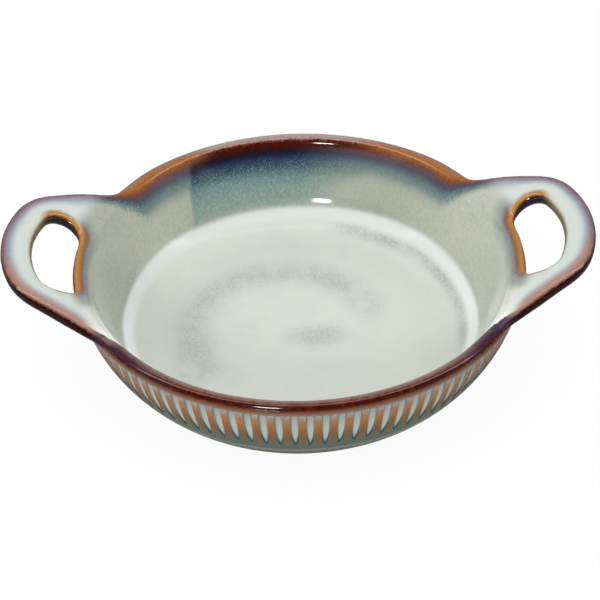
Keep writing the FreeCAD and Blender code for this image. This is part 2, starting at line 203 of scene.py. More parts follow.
bpy.ops.object.mode_set(mode="EDIT")
bpy.ops.mesh.select_all(action="SELECT")
bpy.ops.mesh.spin(steps=flute["count"], dupli=True, angle=2 * math.pi, center=(0, 0, 0), axis=(0, 0, 1))
bpy.ops.mesh.select_all(action="SELECT")
bpy.ops.mesh.remove_doubles(threshold=0.02 * mm)
bpy.ops.mesh.normals_make_consistent(inside=False)
bpy.ops.object.mode_set(mode="OBJECT")
bpy.ops.object.shade_smooth()
outside.data.attributes.new("onWall", "FLOAT", "POINT").data.foreach_set(
    "value", np.ones(len(outside.data.vertices)))
print("outside", len(outside.data.vertices), "vertices", len(outside.data.polygons), "faces")

# --- upper shell: inside, rolled lip and both handles, taken from the CAD dish and softened like thick glaze ---
shell = {
    "voxel": 1.25 * mm,
    "insideHeights": (6.3, 8.5, 19.5, 45),
    "insideRadii": (66, 75, 84.3, 94),
    "outsideHeights": (0, 5, 14.6, 29, 43),
    "outsideRadii": (79, 84, 91.2, 98.4, 101),
    "keptWallAbove": 42 * mm,
    "underside": 3.5 * mm,
    "bandFrom": 97 * mm,
    "bandInset": 0.6 * mm,
    "swell": 0.18 * mm,
}
upper = cadDish.copy()
upper.data = cadDish.data.copy()
upper.name = "upper"
bpy.context.collection.objects.link(upper)
upper.parent = None
upper.matrix_world = Matrix.Identity(4)
makeActive(upper)
bpy.ops.object.mode_set(mode="EDIT")
bpy.ops.mesh.select_all(action="SELECT")
bpy.ops.mesh.remove_doubles(threshold=0.01 * mm)
bpy.ops.object.mode_set(mode="OBJECT")
upper.data.remesh_voxel_size = shell["voxel"]
bpy.ops.object.voxel_remesh()
print("remeshed", len(upper.data.vertices))

# only the inner half of the wall is kept, and nothing below the floor
points = coordinates(upper)
insideRadius = np.interp(points[:, 2] / mm, shell["insideHeights"], shell["insideRadii"]) * mm
outsideRadius = np.interp(points[:, 2] / mm, shell["outsideHeights"], shell["outsideRadii"]) * mm
hidden = (points[:, 2] < shell["keptWallAbove"]) & (fromAxis(points) > (insideRadius + outsideRadius) / 2)
hidden |= points[:, 2] < shell["underside"]
pick(upper, hidden)
bpy.ops.mesh.delete(type="VERT")
bpy.ops.object.mode_set(mode="OBJECT")

# the band under the lip steps back behind the outside wall
points = coordinates(upper)
radii = fromAxis(points)
tucked = (points[:, 2] < wall["bandTop"]) & (radii > shell["bandFrom"]) & (radii < rim + shell["bandInset"])
pick(upper, tucked)
inset = 1 - shell["bandInset"] / rim
bpy.ops.transform.resize(value=(inset, inset, 1), center_override=(0, 0, 0))
bpy.ops.object.mode_set(mode="OBJECT")
modify(upper, "SMOOTH", iterations=12)
bpy.ops.object.mode_set(mode="EDIT")
bpy.ops.mesh.select_all(action="SELECT")
bpy.ops.transform.shrink_fatten(value=shell["swell"])
bpy.ops.object.mode_set(mode="OBJECT")

# the roll beside the finger holes flows softer than the rest, and the roots of the handles softer still;
# both rise to full strength and fall again over these degrees from the handle
softened = [
    {"rise": (-1, 0), "fall": (30, 44), "ring": (92 * mm, 104.5 * mm), "above": 40 * mm, "rounds": 20},
    {"rise": (24, 30), "fall": (38, 50), "ring": (91 * mm, 114 * mm), "above": 38 * mm, "rounds": 40},
]
for soft in softened:
    points = coordinates(upper)
    radii = fromAxis(points)
    fromHandle = bearings(points)
    strength = np.clip((fromHandle - soft["rise"][0]) / (soft["rise"][1] - soft["rise"][0]), 0, 1)
    strength *= np.clip((soft["fall"][1] - fromHandle) / (soft["fall"][1] - soft["fall"][0]), 0, 1)
    strength *= (radii > soft["ring"][0]) & (radii < soft["ring"][1]) & (points[:, 2] > soft["above"])
    modify(upper, "SMOOTH", np.round(strength, 2), iterations=soft["rounds"])

# away from the handles the bowl is pressed onto a finely turned section, so that its highlights are clean
section = {
    "floorRadius": 64 * mm,
    "floor": 6.3 * mm,
    "cove": 24 * mm,
    "top": 48.4 * mm,
    "lipOutside": 2.4 * mm,
    "lipInside": 4.4 * mm,
    "lipEnd": math.radians(6),
    "turns": 480,
    "clearOfHandle": (33, 48),
    "lowOnWall": 42 * mm,
    "lowFade": 3 * mm,
    "reach": 102.5 * mm,
}


def arc(centre, radius, start, end, steps):
    return [(centre.x + radius * math.cos(turn), centre.y + radius * math.sin(turn))
            for turn in np.linspace(start, end, steps)]


lipOuter = Vector((rim - section["lipOutside"], section["top"] - section["lipOutside"]))
lipInner = Vector((lipOuter.x, section["top"] - section["lipInside"]))
coveCentre = Vector((section["floorRadius"], section["floor"] + section["cove"]))
apart = lipInner - coveCentre
lean = math.atan2(apart.y, apart.x) + math.asin((section["cove"] + section["lipInside"]) / apart.length)
upright = math.pi / 2
sectionPoints = [(radius, section["floor"]) for radius in np.linspace(0, section["floorRadius"], 12)[:-1]]
sectionPoints += arc(coveCentre, section["cove"], -upright, lean - upright, 40)
sectionPoints += arc(lipInner, section["lipInside"], lean + upright, upright, 30)
sectionPoints += arc(lipOuter, section["lipOutside"], upright, section["lipEnd"], 24)[1:]
sectionPoints += [(rim - 0.35 * mm, 45.7 * mm), (rim - 0.7 * mm, 45.2 * mm), (rim - 0.7 * mm, 42 * mm)]
turned = drawProfile("turned section", sectionPoints)
pick(turned, np.ones(len(turned.data.vertices), bool))
bpy.ops.mesh.spin(steps=section["turns"], angle=2 * math.pi, center=(0, 0, 0), axis=(0, 0, 1))
bpy.ops.mesh.select_all(action="SELECT")
bpy.ops.mesh.remove_doubles(threshold=0.005 * mm)
bpy.ops.object.mode_set(mode="OBJECT")
makeActive(upper)
points = coordinates(upper)
nearEnd, farEnd = section["clearOfHandle"]
clear = np.clip((bearings(points) - nearEnd) / (farEnd - nearEnd), 0, 1)
low = np.clip((section["lowOnWall"] - points[:, 2]) / section["lowFade"], 0, 1)
pressed = np.round(np.maximum(clear, low) * (fromAxis(points) < section["reach"]), 2)
modify(upper, "SHRINKWRAP", pressed, target=turned, wrap_method="NEAREST_SURFACEPOINT")
bpy.ops.object.shade_smooth()
bpy.data.objects.remove(turned)
print("upper", len(upper.data.vertices), "vertices", len(upper.data.polygons), "faces")

# the pressed part takes the normals of the section itself, the rest keeps its own
points = coordinates(upper)
radii = np.maximum(fromAxis(points), 0.001 * mm)
normals = np.empty(len(points) * 3)
upper.data.vertex_normals.foreach_get("vector", normals)
normals = normals.reshape(-1, 3)
profile = np.array(sectionPoints)
steps = np.diff(profile, axis=0)
facing = np.stack([-steps[:, 1], steps[:, 0]], axis=1)
facing /= np.linalg.norm(facing, axis=1)[:, None]
atCorner = np.vstack([facing[:1], (facing[:-1] + facing[1:]) / 2, facing[-1:]])
inSection = np.stack([radii, points[:, 2]], axis=1)
gaps = np.full(len(points), np.inf)
leaning = np.zeros((len(points), 2))
for start, step, first, second in zip(profile, steps, atCorner, atCorner[1:]):
    along = np.clip((inSection - start) @ step / (step @ step), 0, 1)[:, None]
    gap = np.linalg.norm(inSection - start - along * step, axis=1)
    closer = gap < gaps
    gaps[closer] = gap[closer]
    leaning[closer] = ((1 - along) * first + along * second)[closer]
sheen = np.column_stack([leaning[:, :1] * points[:, :2] / radii[:, None], leaning[:, 1]])
weight = pressed[:, None]
normals = normals * (1 - weight) + sheen * weight
normals /= np.linalg.norm(normals, axis=1)[:, None]
upper.data.normals_split_custom_set_from_vertices(normals.tolist())

# distance over the surface from the nearest upright edge, for where the glaze breaks on lip and handles
links = np.array([pair for face in upper.data.polygons for pair in combinations(face.vertices, 2)])
lengths = np.linalg.norm(points[links[:, 0]] - points[links[:, 1]], axis=1) / mm


def storeDistance(name, start, reach):
    # millimetres walked over the mesh from the rounded edges, counted from where they stand upright
    walked = np.full(len(points), farAway)
    walked[start] = edgeRound * np.arcsin(np.clip(normals[start, 2], 0, 1))
    for step in range(reach):
        np.minimum.at(walked, links[:, 0], walked[links[:, 1]] + lengths)
        np.minimum.at(walked, links[:, 1], walked[links[:, 0]] + lengths)
    upper.data.attributes.new(name, "FLOAT", "POINT").data.foreach_set("value", walked)


edgeRound = 3.2
farAway = 60.0
steep = {"slope": 0.6, "above": 44 * mm, "outside": 98 * mm}
outward = np.sum(normals[:, :2] * points[:, :2], axis=1) > 0
across = np.abs(points[:, 0]) / mm
hole = {"side": 99.6, "gripCentre": 65.9, "grip": 54.8, "halfLength": 28.4}
inHole = ((radii > hole["side"] * mm) & (np.abs(points[:, 1]) < hole["halfLength"] * mm)
          & (np.hypot(across - hole["gripCentre"], points[:, 1] / mm) < hole["grip"]))
edges = (normals[:, 2] < steep["slope"]) & (points[:, 2] > steep["above"]) & (radii > steep["outside"])
storeDistance("fromEdge", edges & outward & ~inHole, reach=42)
storeDistance("fromHole", edges & inHole, reach=24)
upper.data.attributes.new("lean", "FLOAT", "POINT").data.foreach_set("value", normals[:, 2])


# --- glaze ---
def srgb(red, green, blue):
    linear = [(c / 255 / 12.92 if c <= 10 else ((c / 255 + 0.055) / 1.055) ** 2.4) for c in (red, green, blue)]
    return (*linear, 1.0)


def plug(tree, socket, value):
    if isinstance(value, bpy.types.NodeSocket):
        tree.links.new(value, socket)
    else:
        socket.default_value = value


def add(tree, kind, settings=None, **values):
    # inputs go by name, or by number as i0, i1 and so on
    node = tree.nodes.new("ShaderNode" + kind)
    for name, value in (settings or {}).items():
        setattr(node, name, value)
    for name, value in values.items():
        key = int(name[1:]) if name[1:].isdigit() and name[0] == "i" else name.replace("_", " ")
        plug(tree, node.inputs[key], value)
    return node


def maths(tree, operation, first, second=0.0, third=0.0, clamp=False):
    return add(tree, "Math", {"operation": operation, "use_clamp": clamp}, i0=first, i1=second, i2=third).outputs[0]


def between(tree, value, low, high, start=0.0, end=1.0):
    # smooth step from start to end while the value runs from low to high
    node = add(tree, "MapRange", {"interpolation_type": "SMOOTHSTEP"}, Value=value, From_Min=low, From_Max=high,
               To_Min=start, To_Max=end)
    return node.outputs["Result"]


def mixed(tree, factor, first, second):
    node = tree.nodes.new("ShaderNodeMix")
    node.data_type = "RGBA"
    for place, value in ((0, factor), (6, first), (7, second)):
        plug(tree, node.inputs[place], value)
    return node.outputs[2]


def ramp(tree, value, span, stops):
    # stops are (millimetres, sRGB colour)
    node = add(tree, "ValToRGB", Fac=maths(tree, "DIVIDE", value, span))
    elements = node.color_ramp.elements
    while len(elements) < len(stops):
        elements.new(0.5)
    for element, (place, colour) in zip(elements, stops):
        element.position = place / span
    for element, (place, colour) in zip(elements, stops):
        element.color = srgb(*colour)
    return node.outputs["Color"]


def newGroup(name, inputs, outputs):
    group = bpy.data.node_groups.new(name, "ShaderNodeTree")
    for label, kind in inputs:
        group.interface.new_socket(label, in_out="INPUT", socket_type="NodeSocket" + kind)
    for label, kind in outputs:
        group.interface.new_socket(label, in_out="OUTPUT", socket_type="NodeSocket" + kind)
    return group, group.nodes.new("NodeGroupInput"), group.nodes.new("NodeGroupOutput")


# where a point lies on the dish, in millimetres and degrees
placeGroup, source, result = newGroup("dish place", [], [
    ("Radius", "Float"), ("Height", "Float"), ("Bearing", "Float"), ("Around", "Vector")])
spot = add(placeGroup, "SeparateXYZ", Vector=add(placeGroup, "TexCoord").outputs["Object"])
flat = add(placeGroup, "CombineXYZ", X=spot.outputs["X"], Y=spot.outputs["Y"])
radius = maths(placeGroup, "MULTIPLY",
               add(placeGroup, "VectorMath", {"operation": "LENGTH"}, i0=flat.outputs[0]).outputs["Value"], 1000)
height = maths(placeGroup, "MULTIPLY", spot.outputs["Z"], 1000)
bearing = maths(placeGroup, "DEGREES", maths(placeGroup, "ARCTAN2", spot.outputs["X"], spot.outputs["Y"]))
around = add(placeGroup, "CombineXYZ", X=maths(placeGroup, "MULTIPLY", spot.outputs["X"], 1000),
             Y=maths(placeGroup, "MULTIPLY", spot.outputs["Y"], 1000), Z=maths(placeGroup, "MULTIPLY", height, 0.6))
for name, socket in (("Radius", radius), ("Height", height), ("Bearing", bearing), ("Around", around.outputs[0])):
    placeGroup.links.new(socket, result.inputs[name])

# fine and broad mottling of a reactive glaze, a little taller than wide
mottleGroup, source, result = newGroup("glaze mottle", [("Around", "Vector"), ("Size", "Float")], [
    ("Fine", "Float"), ("Broad", "Float")])
fine = add(mottleGroup, "TexNoise", Vector=source.outputs["Around"],
           Scale=maths(mottleGroup, "DIVIDE", 1.0, source.outputs["Size"]), Detail=3.0, Roughness=0.6)
broad = add(mottleGroup, "TexNoise", Vector=source.outputs["Around"],
            Scale=maths(mottleGroup, "DIVIDE", 0.12, source.outputs["Size"]), Detail=2.0, Roughness=0.5)
mottleGroup.links.new(fine.outputs[0], result.inputs["Fine"])
mottleGroup.links.new(broad.outputs[0], result.inputs["Broad"])

# inside: grey-beige wall with painted light and shade round it, a pale ring in the cove that is partly a painted
# highlight, and a floor clouded in a broken ring
insideGroup, source, result = newGroup("inside glaze", [
    ("Radius", "Float"), ("Bearing", "Float"), ("Around", "Vector"), ("Fine", "Float"), ("Broad", "Float")], [
    ("Colour", "Color")])
tree = insideGroup


def cloudRing(centre, radius, width, facing, start, end):
    # soft arc round a centre, kept to the side that it faces
    apart = add(tree, "VectorMath", {"operation": "SUBTRACT"}, i0=level.outputs[0], i1=(*centre, 0)).outputs[0]
    distance = add(tree, "VectorMath", {"operation": "LENGTH"}, i0=apart).outputs["Value"]
    off = maths(tree, "ABSOLUTE", maths(tree, "SUBTRACT", distance, radius))
    turn = math.radians(facing)
    ahead = add(tree, "VectorMath", {"operation": "DOT_PRODUCT"}, i0=apart,
                i1=(math.cos(turn), math.sin(turn), 0)).outputs["Value"]
    return maths(tree, "MULTIPLY", between(tree, off, 0.0, width, 1.0, 0.0), between(tree, ahead, start, end))


def fromOval(centre, halves):
    # 0 at the centre of an oval cloud and 1 on its outline
    scaled = add(tree, "VectorMath", {"operation": "MULTIPLY"}, i0=level.outputs[0],
                 i1=(1 / halves[0], 1 / halves[1], 0)).outputs[0]
    return add(tree, "VectorMath", {"operation": "DISTANCE"}, i0=scaled,
               i1=(centre[0] / halves[0], centre[1] / halves[1], 0)).outputs["Value"]


level = add(tree, "VectorMath", {"operation": "MULTIPLY"}, i0=source.outputs["Around"], i1=(1, 1, 0))
wallTint = mixed(tree, between(tree, source.outputs["Fine"], 0.3, 0.85), (1, 1, 1, 1), (0.8, 0.84, 0.84, 1))
# painted light and shade round the inside wall by bearing: darker at the back, brightened towards the front where the
# wall faces away
paintedLightAround = ramp(tree, maths(tree, "ABSOLUTE", source.outputs["Bearing"]), 180, [
    (0, (172, 178, 164)), (30, (168, 173, 159)), (60, (192, 193, 180)), (95, (190, 193, 179)), (112, (230, 232, 221)),
    (128, (250, 251, 244)), (180, (250, 251, 246))])
spot = add(tree, "SeparateXYZ", Vector=source.outputs["Around"])
# painted shade darkening the left side of the wall
paintedShadeLeft = maths(tree, "MULTIPLY", between(tree, spot.outputs["X"], -88.0, -60.0, 0.28, 0.0),
              between(tree, spot.outputs["Y"], -44.0, -14.0))
paintedLightAround = mixed(tree, paintedShadeLeft, paintedLightAround, srgb(128, 132, 118))
wallTint = add(tree, "Mix", {"data_type": "RGBA", "blend_type": "MULTIPLY"}, i0=1.0, i6=paintedLightAround,
               i7=wallTint).outputs[2]
horseshoe = cloudRing(centre=(-8, -1), radius=43.5, width=15, facing=120, start=-26.0, end=0.0)
rightArc = cloudRing(centre=(0, 0), radius=76, width=6, facing=28, start=46.0, end=62.0)
rightArc = maths(tree, "MULTIPLY", rightArc, 1.25)
middle = fromOval((7, -6), (20, 11))
leftEnd = fromOval((-49, -19), (13, 34))
clouds = maths(tree, "MAXIMUM", horseshoe, rightArc)
clouds = maths(tree, "MAXIMUM", clouds, between(tree, middle, 0.2, 1.15, 1.0, 0.0))
clouds = maths(tree, "MAXIMUM", clouds, between(tree, leftEnd, 0.3, 1.1, 0.9, 0.0))
clouds = maths(tree, "MULTIPLY", clouds, between(tree, source.outputs["Broad"], 0.3, 0.62, 0.4, 0.9))
faint = between(tree, source.outputs["Broad"], 0.45, 0.7, 0.0, 0.1)
clouds = maths(tree, "MAXIMUM", clouds, faint)
speckle = between(tree, source.outputs["Fine"], 0.3, 0.75, 0.4, 1.0)
clouds = maths(tree, "MULTIPLY", clouds, speckle, clamp=True)
floorTint = mixed(tree, clouds, srgb(217, 221, 211), srgb(170, 183, 176))
# the pale ring is partly the glaze and partly a painted highlight, paler towards the front
ringPaleAndHighlight = mixed(tree, between(tree, spot.outputs["Y"], -20.0, 60.0), srgb(242, 245, 241), srgb(222, 227, 222))
ringRadius = maths(tree, "SUBTRACT", source.outputs["Radius"], between(tree, spot.outputs["Y"], 10.0, 70.0, 0.0, 1.7))
ringIn = between(tree, ringRadius, 75.2, 78.8)
ringOut = between(tree, ringRadius, 80.8, 82.8)
lower = mixed(tree, ringIn, floorTint, ringPaleAndHighlight)
everything = mixed(tree, ringOut, lower, wallTint)
tree.links.new(everything, result.inputs["Colour"])

# lip: dark red and navy at the back, orange-brown beside it, fading down the inside wall
lipGroup, source, result = newGroup("lip glaze", [
    ("From edge", "Float"), ("From hole", "Float"), ("Radius", "Float"), ("Fine", "Float"), ("Broad", "Float"),
    ("Bearing", "Float"), ("Around", "Vector"), ("Under", "Color")], [("Colour", "Color")])
tree = lipGroup
fromHandle = maths(tree, "ABSOLUTE", maths(tree, "SUBTRACT", maths(tree, "ABSOLUTE", source.outputs["Bearing"]), 90))
edge = maths(tree, "MULTIPLY", source.outputs["From edge"], between(tree, fromHandle, 25.0, 40.0, 2.4, 1.0))
# the pale band from 1.4 to 5.4 mm near the lip's outer edge is partly thin glaze on the crest and partly a painted
# reflection
deep = ramp(tree, edge, 44, [
    (0, (80, 58, 54)), (1.4, (132, 114, 112)), (2.4, (168, 156, 156)), (4.2, (168, 148, 144)), (5.4, (154, 120, 108)),
    (6.4, (98, 44, 28)), (7.4, (72, 18, 6)), (9.4, (58, 14, 6)), (11.2, (36, 17, 26)), (12.6, (25, 25, 50)),
    (14.2, (30, 42, 70)), (16.4, (38, 60, 84)), (19, (46, 76, 92)), (21.5, (74, 104, 112)), (25, (100, 130, 130)),
    (30, (112, 139, 136)), (36, (120, 146, 139)), (44, (132, 155, 147))])
warm = ramp(tree, edge, 40, [
    (0, (76, 50, 46)), (1.4, (108, 84, 78)), (2.6, (140, 116, 106)), (3.6, (156, 112, 82)), (4.6, (166, 104, 54)),
    (7.2, (146, 86, 44)), (9.2, (112, 72, 60)), (10.8, (94, 74, 86)), (12.4, (76, 76, 90)),
    (14.4, (84, 96, 106)), (17, (100, 120, 122)), (20, (116, 134, 130)), (23, (136, 149, 138)),
    (27, (156, 164, 149)), (32, (174, 178, 163))])
front = ramp(tree, edge, 10, [
    (0, (56, 9, 0)), (1.5, (60, 10, 0)), (2.1, (82, 28, 10)), (2.8, (122, 84, 70)), (3.6, (134, 106, 96)),
    (5.0, (146, 122, 114)), (6.2, (180, 166, 160)), (7.6, (212, 213, 205))])
holeSide = ramp(tree, source.outputs["From hole"], 20, [
    (0, (34, 26, 30)), (1.3, (48, 34, 32)), (2.1, (150, 104, 54)), (3.0, (192, 138, 68)), (4.2, (176, 118, 58)),
    (5.2, (142, 98, 66)), (6.2, (122, 104, 102)), (7.4, (134, 136, 134)), (9.2, (150, 158, 149)),
    (12, (164, 171, 158)), (15, (174, 178, 164)), (20, (182, 185, 171))])
besideHole = between(tree, fromHandle, 17.0, 26.0, 1.0, 0.0)
spot = add(tree, "SeparateXYZ", Vector=source.outputs["Around"])
redLip = maths(tree, "MULTIPLY", between(tree, spot.outputs["X"], -54.0, -34.0),
               between(tree, source.outputs["Bearing"], 14.0, 32.0, 1.0, 0.0))
tealWall = maths(tree, "MULTIPLY", between(tree, spot.outputs["X"], -51.0, -48.0),
                 between(tree, source.outputs["Bearing"], -2.0, 26.0, 1.0, 0.0))
onLip = between(tree, edge, 8.0, 11.0, 1.0, 0.0)
atBack = add(tree, "Mix", {"data_type": "FLOAT"}, i0=onLip, i2=tealWall, i3=redLip).outputs[0]
atFront = between(tree, maths(tree, "ABSOLUTE", source.outputs["Bearing"]), 90.0, 100.0)
reach = maths(tree, "MULTIPLY_ADD", tealWall, 34.0, 27.0)
fade = add(tree, "MapRange", {"interpolation_type": "SMOOTHSTEP"}, Value=edge,
           From_Min=maths(tree, "MULTIPLY", reach, 0.65), From_Max=reach, To_Min=1.0, To_Max=0.0)
upOnWall = between(tree, source.outputs["Radius"], 81.5, 87.0)
covered = maths(tree, "MULTIPLY", fade.outputs["Result"], upOnWall)
backTint = mixed(tree, atBack, warm, deep)
flecks = add(tree, "TexNoise", Vector=source.outputs["Around"], Scale=1.7, Detail=2.0, Roughness=0.7).outputs[0]
flecks = between(tree, maths(tree, "ADD", flecks, between(tree, edge, 12.0, 40.0, 0.0, 0.12)), 0.48, 0.72, 0.0, 0.42)
flecks = maths(tree, "MULTIPLY", flecks, between(tree, edge, 12.5, 19.0))
backTint = mixed(tree, flecks, backTint, srgb(158, 172, 158))
grain = between(tree, source.outputs["Fine"], 0.25, 0.75, 1.12, 0.86)
grain = add(tree, "CombineXYZ", X=grain, Y=grain, Z=grain).outputs[0]
backTint = add(tree, "Mix", {"data_type": "RGBA", "blend_type": "MULTIPLY"}, i0=1.0, i6=backTint,
               i7=grain).outputs[2]
darkSpots = maths(tree, "MULTIPLY", between(tree, source.outputs["Fine"], 0.5, 0.72),
                  maths(tree, "MULTIPLY", between(tree, edge, 7.5, 9.5, 0.8, 0.0), between(tree, edge, 5.6, 6.6)))
backTint = mixed(tree, maths(tree, "MULTIPLY", darkSpots, atBack), backTint, srgb(30, 14, 16))
glow = add(tree, "TexNoise", Vector=source.outputs["Around"], Scale=0.42, Detail=2.0, Roughness=0.6).outputs[0]
glow = maths(tree, "MULTIPLY", between(tree, glow, 0.5, 0.68), between(tree, edge, 1.4, 3.0, 0.34, 0.0))
purple = between(tree, maths(tree, "ABSOLUTE", source.outputs["Bearing"]), 122.0, 152.0, 0.9, 0.0)
purple = maths(tree, "MULTIPLY", purple, between(tree, source.outputs["Broad"], 0.35, 0.6, 0.5, 1.0))
frontTint = mixed(tree, purple, front, srgb(58, 48, 74))
frontTint = mixed(tree, glow, frontTint, srgb(136, 44, 8))
frontTint = mixed(tree, between(tree, source.outputs["Fine"], 0.52, 0.7, 0.0, 0.5), frontTint, srgb(60, 20, 18))
frontFade = between(tree, edge, 6.2, 8.0, 1.0, 0.0)
frontTint = mixed(tree, frontFade, source.outputs["Under"], frontTint)
backTint = mixed(tree, covered, source.outputs["Under"], backTint)
lipTint = mixed(tree, atFront, backTint, frontTint)
holeFade = maths(tree, "MULTIPLY", besideHole, between(tree, source.outputs["From hole"], 11.0, 17.0, 1.0, 0.0))
tree.links.new(mixed(tree, holeFade, lipTint, holeSide), result.inputs["Colour"])

# handles: pale tops, purple at the outer edges, pink-brown over a dark wall in front, orange beside the bowl
handleGroup, source, result = newGroup("handle glaze", [
    ("From edge", "Float"), ("From hole", "Float"), ("Around", "Vector"), ("Lean", "Float")], [
    ("Colour", "Color")])
tree = handleGroup
spot = add(tree, "SeparateXYZ", Vector=source.outputs["Around"])
outerEdge = maths(tree, "MULTIPLY", source.outputs["From edge"],
                  between(tree, spot.outputs["Y"], -5.0, 28.0, 1.0, 0.74))
outerTint = ramp(tree, outerEdge, 14, [
    (0, (60, 48, 46)), (1.6, (64, 50, 50)), (2.7, (96, 72, 76)), (3.6, (124, 96, 106)), (4.5, (144, 124, 136)),
    (5.3, (148, 146, 156)), (6.2, (156, 168, 174)), (7.4, (178, 191, 192)), (8.8, (196, 206, 202)),
    (10.5, (209, 216, 211)), (14, (214, 220, 215))])
frontTint = ramp(tree, source.outputs["From edge"], 14, [
    (0, (34, 12, 6)), (1.6, (34, 6, 2)), (2.2, (90, 52, 42)), (2.8, (150, 108, 92)), (4.2, (164, 126, 110)),
    (6.0, (170, 150, 146)), (8.2, (184, 190, 192)), (10.5, (208, 215, 211)), (14, (214, 220, 215))])
toFront = between(tree, spot.outputs["Y"], -26.0, -6.0, 1.0, 0.0)
rimTint = mixed(tree, toFront, outerTint, frontTint)
holeTint = ramp(tree, source.outputs["From hole"], 14, [
    (0, (26, 24, 34)), (1.2, (42, 30, 32)), (1.9, (120, 76, 34)), (2.7, (188, 134, 64)), (3.6, (172, 122, 70)),
    (4.4, (178, 164, 142)), (5.6, (208, 214, 207)), (14, (214, 220, 215))])
gripTint = ramp(tree, source.outputs["From hole"], 14, [
    (0, (110, 96, 72)), (1.6, (136, 122, 92)), (2.4, (186, 188, 174)), (3.4, (208, 215, 208)),
    (14, (214, 220, 215))])
outward = maths(tree, "ABSOLUTE", spot.outputs["X"])
byBowl = maths(tree, "MAXIMUM", between(tree, outward, 104.5, 108.5, 1.0, 0.0),
               maths(tree, "MULTIPLY", between(tree, spot.outputs["Y"], 12.0, 18.0),
                     between(tree, outward, 112.0, 117.5, 1.0, 0.0)))
nearer = between(tree, maths(tree, "SUBTRACT", source.outputs["From edge"], source.outputs["From hole"]), -5.0, 5.0)
topTint = mixed(tree, nearer, rimTint, mixed(tree, byBowl, gripTint, holeTint))
under = between(tree, source.outputs["Lean"], -0.6, -0.2, 1.0, 0.0)
tree.links.new(mixed(tree, under, topTint, srgb(88, 70, 62)), result.inputs["Colour"])

# outside: tan band, pale ledge, brown ridges between pale grooves, grey-green below, darkening to the foot as painted
# shade
outerGroup, source, result = newGroup("outside glaze", [
    ("Height", "Float"), ("Groove", "Float"), ("Fine", "Float")], [("Colour", "Color")])
tree = outerGroup
# towards the foot the band darkens as painted shade where the wall rounds under, below a pale line at about 12 mm
bandTint = ramp(tree, source.outputs["Height"], 50, [
    (0, (52, 50, 42)), (7, (62, 60, 48)), (10.2, (82, 80, 66)), (11.6, (132, 133, 122)), (13.4, (128, 131, 119)),
    (15.0, (84, 96, 88)), (18, (82, 96, 84)), (21, (94, 99, 76)), (25, (106, 88, 58)), (28, (120, 84, 48)),
    (32, (138, 88, 44)), (37, (156, 104, 58)), (39.2, (154, 114, 80)), (40.8, (146, 134, 122)),
    (42.6, (150, 147, 139)), (43.4, (134, 110, 98)), (44.6, (116, 78, 62)), (45.6, (98, 52, 38)),
    (46.3, (66, 20, 6)), (50, (56, 9, 0))])
grooveTint = ramp(tree, source.outputs["Height"], 50, [
    (17, (78, 84, 82)), (20.4, (88, 96, 96)), (21.4, (148, 156, 154)), (25, (176, 182, 176)), (31, (176, 181, 172)),
    (37, (162, 166, 158)), (41.5, (148, 152, 148)), (43, (146, 142, 134))])
speckled = mixed(tree, between(tree, source.outputs["Fine"], 0.4, 0.75, 0.0, 0.45), bandTint, srgb(92, 88, 74))
outline = mixed(tree, between(tree, source.outputs["Height"], 22.0, 36.0), srgb(60, 72, 80), srgb(116, 118, 114))
rimmed = mixed(tree, between(tree, source.outputs["Groove"], 0.01, 0.12), speckled, outline)
grooved = mixed(tree, between(tree, source.outputs["Groove"], 0.36, 0.6), rimmed, grooveTint)
tree.links.new(grooved, result.inputs["Colour"])


def useGroup(tree, group, **values):
    node = tree.nodes.new("ShaderNodeGroup")
    node.node_tree = group
    for name, value in values.items():
        plug(tree, node.inputs[name.replace("_", " ")], value)
    return node


glaze = bpy.data.materials.new("reactive glaze")
glaze.use_nodes = True
tree = glaze.node_tree
shader = tree.nodes["Principled BSDF"]
place = useGroup(tree, placeGroup)
mottle = useGroup(tree, mottleGroup, Around=place.outputs["Around"], Size=1.3)
edgeDistance = add(tree, "Attribute", {"attribute_name": "fromEdge"}).outputs["Fac"]
holeDistance = add(tree, "Attribute", {"attribute_name": "fromHole"}).outputs["Fac"]
uneven = maths(tree, "SUBTRACT", mottle.outputs["Fine"], 0.5)
toBack = between(tree, maths(tree, "ABSOLUTE", place.outputs["Bearing"]), 40.0, 60.0, 4.0, 1.2)
toBack = maths(tree, "MULTIPLY", toBack, between(tree, edgeDistance, 4.0, 12.0, 0.3, 1.0))
ragged = maths(tree, "MULTIPLY_ADD", uneven, toBack, edgeDistance)
lean = add(tree, "Attribute", {"attribute_name": "lean"}).outputs["Fac"]
inside = useGroup(tree, insideGroup, Radius=place.outputs["Radius"], Bearing=place.outputs["Bearing"],
                  Around=place.outputs["Around"], Fine=mottle.outputs["Fine"], Broad=mottle.outputs["Broad"])
lip = useGroup(tree, lipGroup, From_edge=maths(tree, "SUBTRACT", ragged, 0.85),
               From_hole=maths(tree, "MULTIPLY_ADD", uneven, 2.0, holeDistance), Radius=place.outputs["Radius"],
               Fine=mottle.outputs["Fine"], Broad=mottle.outputs["Broad"],
               Bearing=maths(tree, "MULTIPLY_ADD", uneven, 6.0, place.outputs["Bearing"]),
               Around=place.outputs["Around"], Under=inside.outputs["Colour"])
handle = useGroup(tree, handleGroup, From_edge=maths(tree, "MULTIPLY_ADD", uneven, 1.5, edgeDistance),
                  From_hole=maths(tree, "MULTIPLY_ADD", uneven, 1.0, holeDistance),
                  Around=place.outputs["Around"], Lean=lean)
onHandle = between(tree, place.outputs["Radius"], 99.0, 106.0)
upperTint = mixed(tree, onHandle, lip.outputs["Colour"], handle.outputs["Colour"])
outer = useGroup(tree, outerGroup, Height=place.outputs["Height"],
                 Groove=add(tree, "Attribute", {"attribute_name": "groove"}).outputs["Fac"],
                 Fine=mottle.outputs["Fine"])
onWall = add(tree, "Attribute", {"attribute_name": "onWall"}).outputs["Fac"]
tree.links.new(mixed(tree, onWall, upperTint, outer.outputs["Colour"]), shader.inputs["Base Color"])
